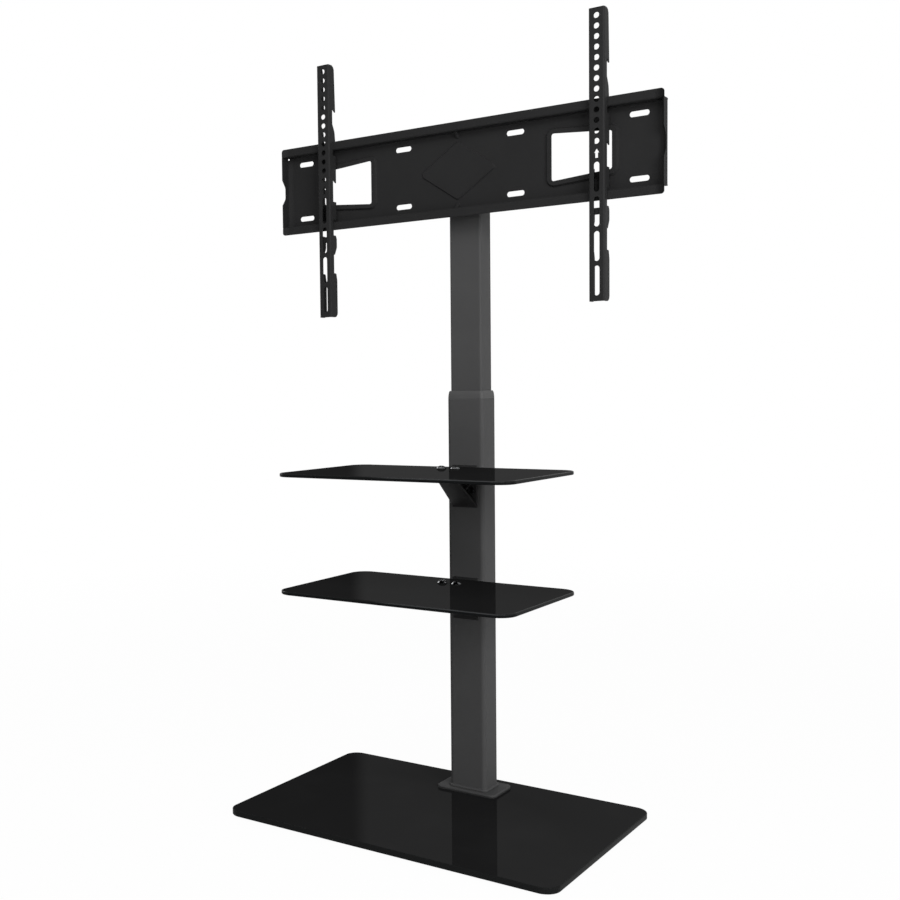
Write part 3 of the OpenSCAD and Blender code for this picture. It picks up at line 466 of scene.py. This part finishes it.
def moulded(name, shade, roughness):
    """Moulded plastic with a fine spark-eroded texture."""
    material, start, place = new_finish(name)
    grain = place.node("TexVoronoi", inputs={"Vector": place, "Scale": 1700.0})
    flow = noise(place, scale=30.0).between(0.3, 0.7)
    colour = flow.tint([c * 0.95 for c in shade], [c * 1.06 for c in shade])
    bump = relief(grain, strength=0.18, depth=0.05 * mm)
    coat_surface(start, colour, roughness + flow * 0.06, bump, Specular_IOR_Level=0.2)
    return material


sleeve_finish = moulded("sleeve_plastic", (0.0545, 0.0545, 0.0550), roughness=0.55)
black_moulding = moulded("black_moulding", (0.016, 0.016, 0.0165), roughness=0.5)
dress(sleeve_finish, "guide_sleeve")
dress(black_moulding, "column_cap", "column_shoe")


def socket_screw(head_r, head_h, socket_r, shank_r, shank):
    """A socket head cap screw, head up, with its head's foot at z = 0."""
    chamfer, lip = 0.6 * mm, 0.2 * mm
    return turned([
        (0.0, -shank), (shank_r - chamfer, -shank), (shank_r, -shank + chamfer), (shank_r, 0.0),
        (head_r - lip, 0.0), (head_r, lip), (head_r, head_h - 0.6 * mm),
        (head_r - 0.15 * mm, head_h - 0.25 * mm), (head_r - 0.6 * mm, head_h),
        (socket_r + 0.5 * mm, head_h), (socket_r, head_h - 0.3 * mm, 6),
        (socket_r - 0.01 * mm, head_h * 0.5, 6), (0.0, head_h * 0.42)], steps=72)


low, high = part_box("clamp_screws")
nut_low, nut_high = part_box("clamp_nuts")
clamp_nut_r, clamp_head_h, clamp_socket_r, clamp_shank_r = 8 * mm, 8 * mm, 3.4 * mm, 4 * mm
head_y = nut_high.y + 0.01 * mm
clamps = [lay(socket_screw(high.x, clamp_head_h, clamp_socket_r, clamp_shank_r, head_y - low.y),
              (0.0, head_y, z), lean=-90)
          for z in (nut_low.z + clamp_nut_r, nut_high.z - clamp_nut_r)]
gather(clamps, "clamp_cap_screws", "base", [zinc_finish], "clamp_screws")


# --- Glass shelves ------------------------------------------------------------
# Two sheets of the same black glass, each on a soft pad and bolted through two
# holes to a steel bracket, with domed chrome screws, washers and hex nuts.

shelf_edge_finish = edge_glass("shelf_glass_edge", (0.0040, 0.0044, 0.0046),
                               roughness=0.30, gloss=0.03)
# The shelves' arris has a painted highlight: a lighter stretch right of the middle, on the front
# and back.
shelf_arris_highlight_finish = edge_glass("shelf_glass_arris_painted_highlight", (0.0080, 0.0084, 0.0086),
                                roughness=0.20, gloss=0.04, painted_highlight_colour=(0.032, 0.033, 0.034))
shelf_corner, shelf_rim = 30 * mm, 1.6 * mm
for level in ("upper", "lower"):
    glass_sheet(level + "_shelf_sheet", level + "_shelf_glass", shelf_corner, shelf_rim,
                shelf_edge_finish, shelf_arris_highlight_finish)


def chrome():
    """Dark chrome, with the finest wiping marks."""
    material, start, place = new_finish("chrome")
    wipe = noise(place, scale=260.0, detail=3.0).between(0.4, 0.7)
    colour = wipe.tint((0.11, 0.112, 0.115), (0.20, 0.202, 0.207))
    coat_surface(start, colour, 0.08 + wipe * 0.06, Metallic=1.0)
    return material


def dome_screw(head_r, head_h, shank_r, shank):
    """A domed head with a hex socket, head up, with its head's foot at z = 0."""
    points, points_to_top = 10, 12.5
    chamfer, socket_depth = 0.6 * mm, 2.2 * mm
    sphere_r = (head_r ** 2 + head_h ** 2) / (2 * head_h)
    dome = []
    for i in range(points):
        angle = math.asin(head_r / sphere_r) * (1 - i / points_to_top)
        dome.append((sphere_r * math.sin(angle), head_h - sphere_r + sphere_r * math.cos(angle)))
    top_r, top_z = dome[-1]
    return turned([
        (0.0, -shank), (shank_r - chamfer, -shank), (shank_r, chamfer - shank), (shank_r, 0.0),
        *dome, (top_r - 0.35 * mm, top_z + 0.04 * mm), (top_r - 0.5 * mm, top_z - 0.2 * mm, 6),
        (top_r - 0.51 * mm, top_z - socket_depth, 6), (0.0, top_z - 2.5 * mm)], steps=72)


def washer(bore_r, outer_r, thickness):
    """A flat washer with soft outer edges, from z = 0 up."""
    edge_r, edge_h = 0.2 * mm, 0.25 * mm
    return turned([
        (bore_r, 0.0), (outer_r - edge_r, 0.0), (outer_r, edge_h), (outer_r, thickness - edge_h),
        (outer_r - edge_r, thickness), (bore_r, thickness), (bore_r, 0.0)], steps=48)


def hex_nut(bore_r, face_r, corner_r, chamfer, low_z, high_z):
    """A nut from low_z to high_z, round at its faces and six-sided between them."""
    return turned([
        (bore_r, low_z), (face_r, low_z), (corner_r, low_z + chamfer, 6),
        (corner_r, high_z - chamfer, 6), (face_r, high_z), (bore_r, high_z),
        (bore_r, low_z)], steps=48)


chrome_finish = chrome()
shelf_shank_r, washer_bore_r = 3 * mm, 3.4 * mm
for level in ("upper", "lower"):
    low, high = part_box(level + "_shelf_screws")
    washer_low, washer_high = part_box(level + "_shelf_washers")
    nut_low, nut_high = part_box(level + "_shelf_nuts")
    head_r, head_h = (washer_high.y - washer_low.y) / 2, high.z - washer_high.z
    screw_x, screw_y = high.x - head_r, (low.y + high.y) / 2
    heads, washers, nuts = [], [], []
    for side in (-1, 1):
        x = side * screw_x
        head = dome_screw(head_r, head_h, shelf_shank_r, washer_high.z - low.z)
        heads.append(lay(head, (x, screw_y, washer_high.z)))
        washers.append(lay(washer(washer_bore_r, head_r, 1 * mm), (x, screw_y, washer_low.z)))
        nut = hex_nut(shelf_shank_r, face_r=5.1 * mm, corner_r=6 * mm, chamfer=0.45 * mm,
                      low_z=0.0, high_z=nut_high.z - nut_low.z)
        bmesh.ops.rotate(nut, matrix=Matrix.Rotation(math.radians(90), 3, "Z"), verts=nut.verts)
        nuts.append(lay(nut, (x, screw_y, nut_low.z)))
    gather(heads, level + "_shelf_dome_screws", "base", [chrome_finish],
           level + "_shelf_screws")
    gather(washers, level + "_shelf_screw_washers", "base", [chrome_finish],
           level + "_shelf_washers")
    gather(nuts, level + "_shelf_hex_nuts", "base", [zinc_finish],
           level + "_shelf_nuts")


# --- Shelf brackets -----------------------------------------------------------
# A flat bar lies on the column, and a folded steel sheet stands out from it:
# flat under the glass, then back down in a slope, with a brace inside the fold.
# Both have the black coat; their cut edges at the sides are painted near black, a painted shade.

black_coat = powder_coat("black_powder_coat", (0.0186, 0.0186, 0.0189),
                         roughness=0.45, gloss=0.03, grain=1100.0, edge=0.5 * mm)
# Painted shade: the cut edges are painted near black, far darker than the coat.
cut_edge_shade_coat = powder_coat("cut_edges_painted_shade", (0.0035, 0.0035, 0.0036),
                       roughness=0.55, gloss=0.05, grain=1100.0, edge=0.2 * mm)
black_screw_finish = zinc_plate("black_zinc", (0.020, 0.020, 0.021))

bar_t, bar_edge, sheet_t, sheet_edge = 3 * mm, 0.7 * mm, 3 * mm, 0.4 * mm
reach, front_w, slope_drop = 85 * mm, 34 * mm, 63 * mm
into_bar = 0.2 * mm
outer_cut, inner_cut = 14.9 * mm, 6 * mm
brace_reach, brace_drop, brace_start_drop, brace_thick = 32 * mm, 29.5 * mm, 8.5 * mm, 2 * mm
brace_share, sideways = 0.92, 0.9
bar_head_r, bar_head_h, bar_socket_r, bar_shank_r = 5.4 * mm, 3 * mm, 2.9 * mm, 3 * mm
for level in ("upper", "lower"):
    low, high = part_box(level + "_shelf_bracket")
    pad_low, pad_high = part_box(level + "_shelf_pad")
    back_w = high.x - low.x
    bar = bmesh.new()
    bmesh.ops.create_cube(bar, size=1.0)
    bmesh.ops.scale(bar, vec=(back_w, bar_t, high.z - low.z), verts=bar.verts)
    round_off(bar, bar.edges[:], "EDGES", bar_edge, segments=3)
    bmesh.ops.translate(bar, vec=(0.0, high.y - bar_t / 2, (low.z + high.z) / 2), verts=bar.verts)

    # The sheet and the brace start 1 m wide and are drawn in to the bracket's width.
    top_z, front_y = pad_low.z, high.y - reach
    foot_y, foot_z = high.y - bar_t + into_bar, pad_high.z - slope_drop
    fall = (top_z - foot_z) / (foot_y - front_y)
    slope_t = sheet_t * math.hypot(1.0, fall)
    inner_nose_y = front_y + (sheet_t + slope_t) / fall
    outline = [(foot_y, top_z), (front_y, top_z), (foot_y, foot_z), (foot_y, foot_z + slope_t),
               (inner_nose_y, top_z - sheet_t), (foot_y, top_z - sheet_t)]
    fold = bmesh.new()
    fold.faces.new([fold.verts.new((-0.5, y, z)) for y, z in outline])
    fold.verts.ensure_lookup_table()
    for corner, cut in ((fold.verts[1], outer_cut), (fold.verts[4], inner_cut)):
        round_off(fold, [corner], "VERTICES", cut, segments=8)
    thicken(fold, (1.0, 0.0, 0.0))

    brace_low = Vector((0.0, foot_y - brace_reach, top_z - brace_drop))
    brace_high = Vector((0.0, foot_y, top_z - brace_start_drop))
    across = (brace_high - brace_low).cross(Vector((1.0, 0.0, 0.0))).normalized() * brace_thick
    aside = Vector((-brace_share / 2, 0.0, 0.0))
    brace = bmesh.new()
    brace.faces.new([brace.verts.new(aside + corner) for corner in (
        brace_low, brace_high, brace_high + across, brace_low + across)])
    thicken(brace, (brace_share, 0.0, 0.0))

    for sheet in (fold, brace):
        for vert in sheet.verts:
            forward = (high.y - vert.co.y) / (high.y - front_y)
            vert.co.x *= back_w + (front_w - back_w) * forward
        soften_rims(sheet, sheet_edge, segments=2)
        # Faces that look sideways, the cut edges, take the painted shade.
        for face in sheet.faces:
            face.material_index = 1 if abs(face.normal.x) > sideways else 0
    gather([bar, fold, brace], level + "_folded_bracket", "base", [black_coat, cut_edge_shade_coat],
           level + "_shelf_bracket")

    low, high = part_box(level + "_bar_screws")
    head_y, middle_z = low.y + bar_head_h, (low.z + high.z) / 2
    screws = [lay(socket_screw(bar_head_r, bar_head_h, bar_socket_r, bar_shank_r, high.y - head_y),
                  (side * (high.x - bar_head_r), head_y, middle_z), lean=90)
              for side in (-1, 1)]
    gather(screws, level + "_bar_cap_screws", "base", [black_screw_finish],
           level + "_bar_screws")


# --- Swivel joint, mount plate and screen arms --------------------------------
# Steel lugs on the column and on the plate turn about one pin, with nylon slip
# washers between them. A nut below and steel washers close the stack. The
# pressed plate and the two channels that hang on it have the black coat.

def nylon():
    """Milky nylon."""
    material, start, place = new_finish("nylon")
    milky = noise(place, scale=160.0, detail=3.0).between(0.3, 0.7)
    colour = milky.tint((0.62, 0.60, 0.55), (0.70, 0.69, 0.64))
    coat_surface(start, colour, 0.42 + milky * 0.08, Subsurface_Weight=0.1)
    return material


plate_coat = powder_coat("plate_powder_coat", (0.0194, 0.0194, 0.0197),
                         roughness=0.45, gloss=0.012, grain=1100.0, edge=0.5 * mm,
                         bend=(347 * mm, 13 * mm))
dress(nylon(), "slip_washers")
dress(zinc_finish, "steel_washers")
dress(black_coat, "plate_lugs", "arm_left", "arm_right")
dress(plate_coat, "mount_plate")

low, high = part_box("swivel_pin")
washer_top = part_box("steel_washers")[1].z
nut_low, nut_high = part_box("swivel_nut")
pin_y = (low.y + high.y) / 2
pin_r, face_r, corner_r, chamfer = 5 * mm, 7.2 * mm, 8.5 * mm, 0.7 * mm
tip, under_head = 0.8 * mm, 0.3 * mm
pin = turned([
    (0.0, low.z), (pin_r - tip, low.z), (pin_r, low.z + tip), (pin_r, washer_top),
    (face_r, washer_top), (corner_r, washer_top + under_head, 6),
    (corner_r, high.z - chamfer, 6), (face_r, high.z), (0.0, high.z)], steps=48)
gather([lay(pin, (0.0, pin_y, 0.0))], "swivel_bolt", "riser", [zinc_finish],
       "swivel_pin")
nut = hex_nut(pin_r, face_r, corner_r, chamfer, nut_low.z, nut_high.z)
gather([lay(nut, (0.0, pin_y, 0.0))], "swivel_hex_nut", "riser", [zinc_finish],
       "swivel_nut")


# --- Studio -------------------------------------------------------------------
# A pale floor, and white surroundings with one dark wall at the back left, which
# only reflections show. A large soft lamp stands at the right front, with weaker
# ones around the stand.

def floor_paint():
    """Pale paint that takes the stand's shadow. What is seen straight, in a reflection or
    through glass is nearly white, and white far away."""
    material, start, place = new_finish("studio_floor")
    far = place.node("VectorMath", {"operation": "LENGTH"}, {0: place}, output="Value")
    far = far.between(1.2, 3.4)
    seen = start.node("LightPath", output="Is Camera Ray")
    glossy = start.node("LightPath", output="Is Glossy Ray")
    through = start.node("LightPath", output="Is Transmission Ray")
    shown = seen.larger(glossy).larger(through)
    grain = noise(place, scale=60.0, detail=3.0).between(0.3, 0.7)
    shade = grain.tint((0.80, 0.80, 0.80), (0.82, 0.82, 0.82))
    paint = start.node("BsdfDiffuse", inputs={"Color": shade})
    glow = start.node("Emission", inputs={"Color": (1.0, 1.0, 1.0, 1.0), "Strength": 1.0})
    share = shown * (0.975 + far * 0.025)
    mixed = start.node("MixShader", inputs={0: share, 1: paint, 2: glow})
    start.node("OutputMaterial", inputs={"Surface": mixed})
    return material


floor_bm = bmesh.new()
bmesh.ops.create_circle(floor_bm, cap_ends=True, segments=96, radius=9.0)
floor_mesh = bpy.data.meshes.new("studio_floor")
floor_bm.to_mesh(floor_mesh)
floor_bm.free()
floor_mesh.materials.append(floor_paint())
floor = bpy.data.objects.new("studio_floor", floor_mesh)
bpy.context.scene.collection.objects.link(floor)

world = bpy.data.worlds.new("studio")
world.use_nodes = True
world.node_tree.nodes.clear()
air = Strand(world.node_tree)
outward = air.node("TexCoord", output="Generated")


def beside(edge):
    """0 on one side of an upright plane through the stand, 1 on the other."""
    side = outward.node("VectorMath", {"operation": "DOT_PRODUCT"}, {0: outward, 1: edge},
                        output="Value")
    return side.between(-0.008, 0.008)


ambient, wall_darkness = 0.08, 0.9
dark_wall = (1.0 - beside((0.8396, 0.5432, 0.0))) * beside((0.2588, 0.9659, 0.0))
seen = air.node("LightPath", output="Is Camera Ray")
through = air.node("LightPath", output="Is Transmission Ray")
mirrored = air.node("LightPath", output="Is Glossy Ray") * (1.0 - dark_wall * wall_darkness)
shown = seen.larger(through).larger(mirrored)
sky = air.node("Background", inputs={
    "Color": (1.0, 1.0, 1.0, 1.0), "Strength": ambient + shown * (1.0 - ambient)})
air.node("OutputWorld", inputs={"Surface": sky})
bpy.context.scene.world = world

# Softboxes that look at the middle of the stand. Azimuth 0 is in front, 90 at the right.
aim = Vector((0.0, 0.0, 0.75))
for name, azimuth, elevation, distance, width, height, power in (
        ("key_lamp", 54.0, 16.0, 3.4, 1.6, 1.6, 88.0),
        ("side_lamp", 90.0, 6.0, 3.4, 1.4, 1.8, 42.0),
        ("front_lamp", 0.0, 45.0, 3.0, 1.6, 1.6, 34.0),
        ("low_front_lamp", 20.0, 5.0, 3.0, 1.3, 1.3, 15.0),
        ("back_lamp", 250.0, 20.0, 3.2, 1.2, 1.2, 24.0)):
    swing, lift = math.radians(azimuth), math.radians(elevation)
    way = Vector((math.sin(swing) * math.cos(lift), -math.cos(swing) * math.cos(lift),
                  math.sin(lift)))
    lamp = bpy.data.lights.new(name, "AREA")
    lamp.shape = "RECTANGLE"
    lamp.size, lamp.size_y = width, height
    lamp.energy = power
    softbox = bpy.data.objects.new(name, lamp)
    softbox.location = aim + way * distance
    softbox.rotation_euler = way.to_track_quat("Z", "Y").to_euler()
    bpy.context.scene.collection.objects.link(softbox)

# The camera's lens, place and turn are fitted to the corners of the glass, the plate
# and the column. Its axis meets the 900 x 900 picture at this point.
picture, axis_across, axis_down = 900.0, 270.65, 455.98
camera = bpy.data.cameras.new("camera")
camera.sensor_width = 36.0
camera.lens = 48.0837
camera.shift_x = (picture / 2 - axis_across) / picture
camera.shift_y = (axis_down - picture / 2) / picture
camera.clip_start, camera.clip_end = 0.05, 60.0
holder = bpy.data.objects.new("camera", camera)
right = Vector((0.79922188, 0.60081077, -0.01645603))
up = Vector((-0.01975851, 0.05362847, 0.99836546))
ahead = Vector((-0.60071124, 0.79759037, -0.05473217))
turn = Matrix((right, up, -ahead)).transposed().to_4x4()
holder.matrix_world = Matrix.Translation((0.994903, -1.77664, 0.735743)) @ turn
bpy.context.scene.collection.objects.link(holder)
bpy.context.scene.camera = holder

bpy.context.scene.view_settings.view_transform = "Standard"
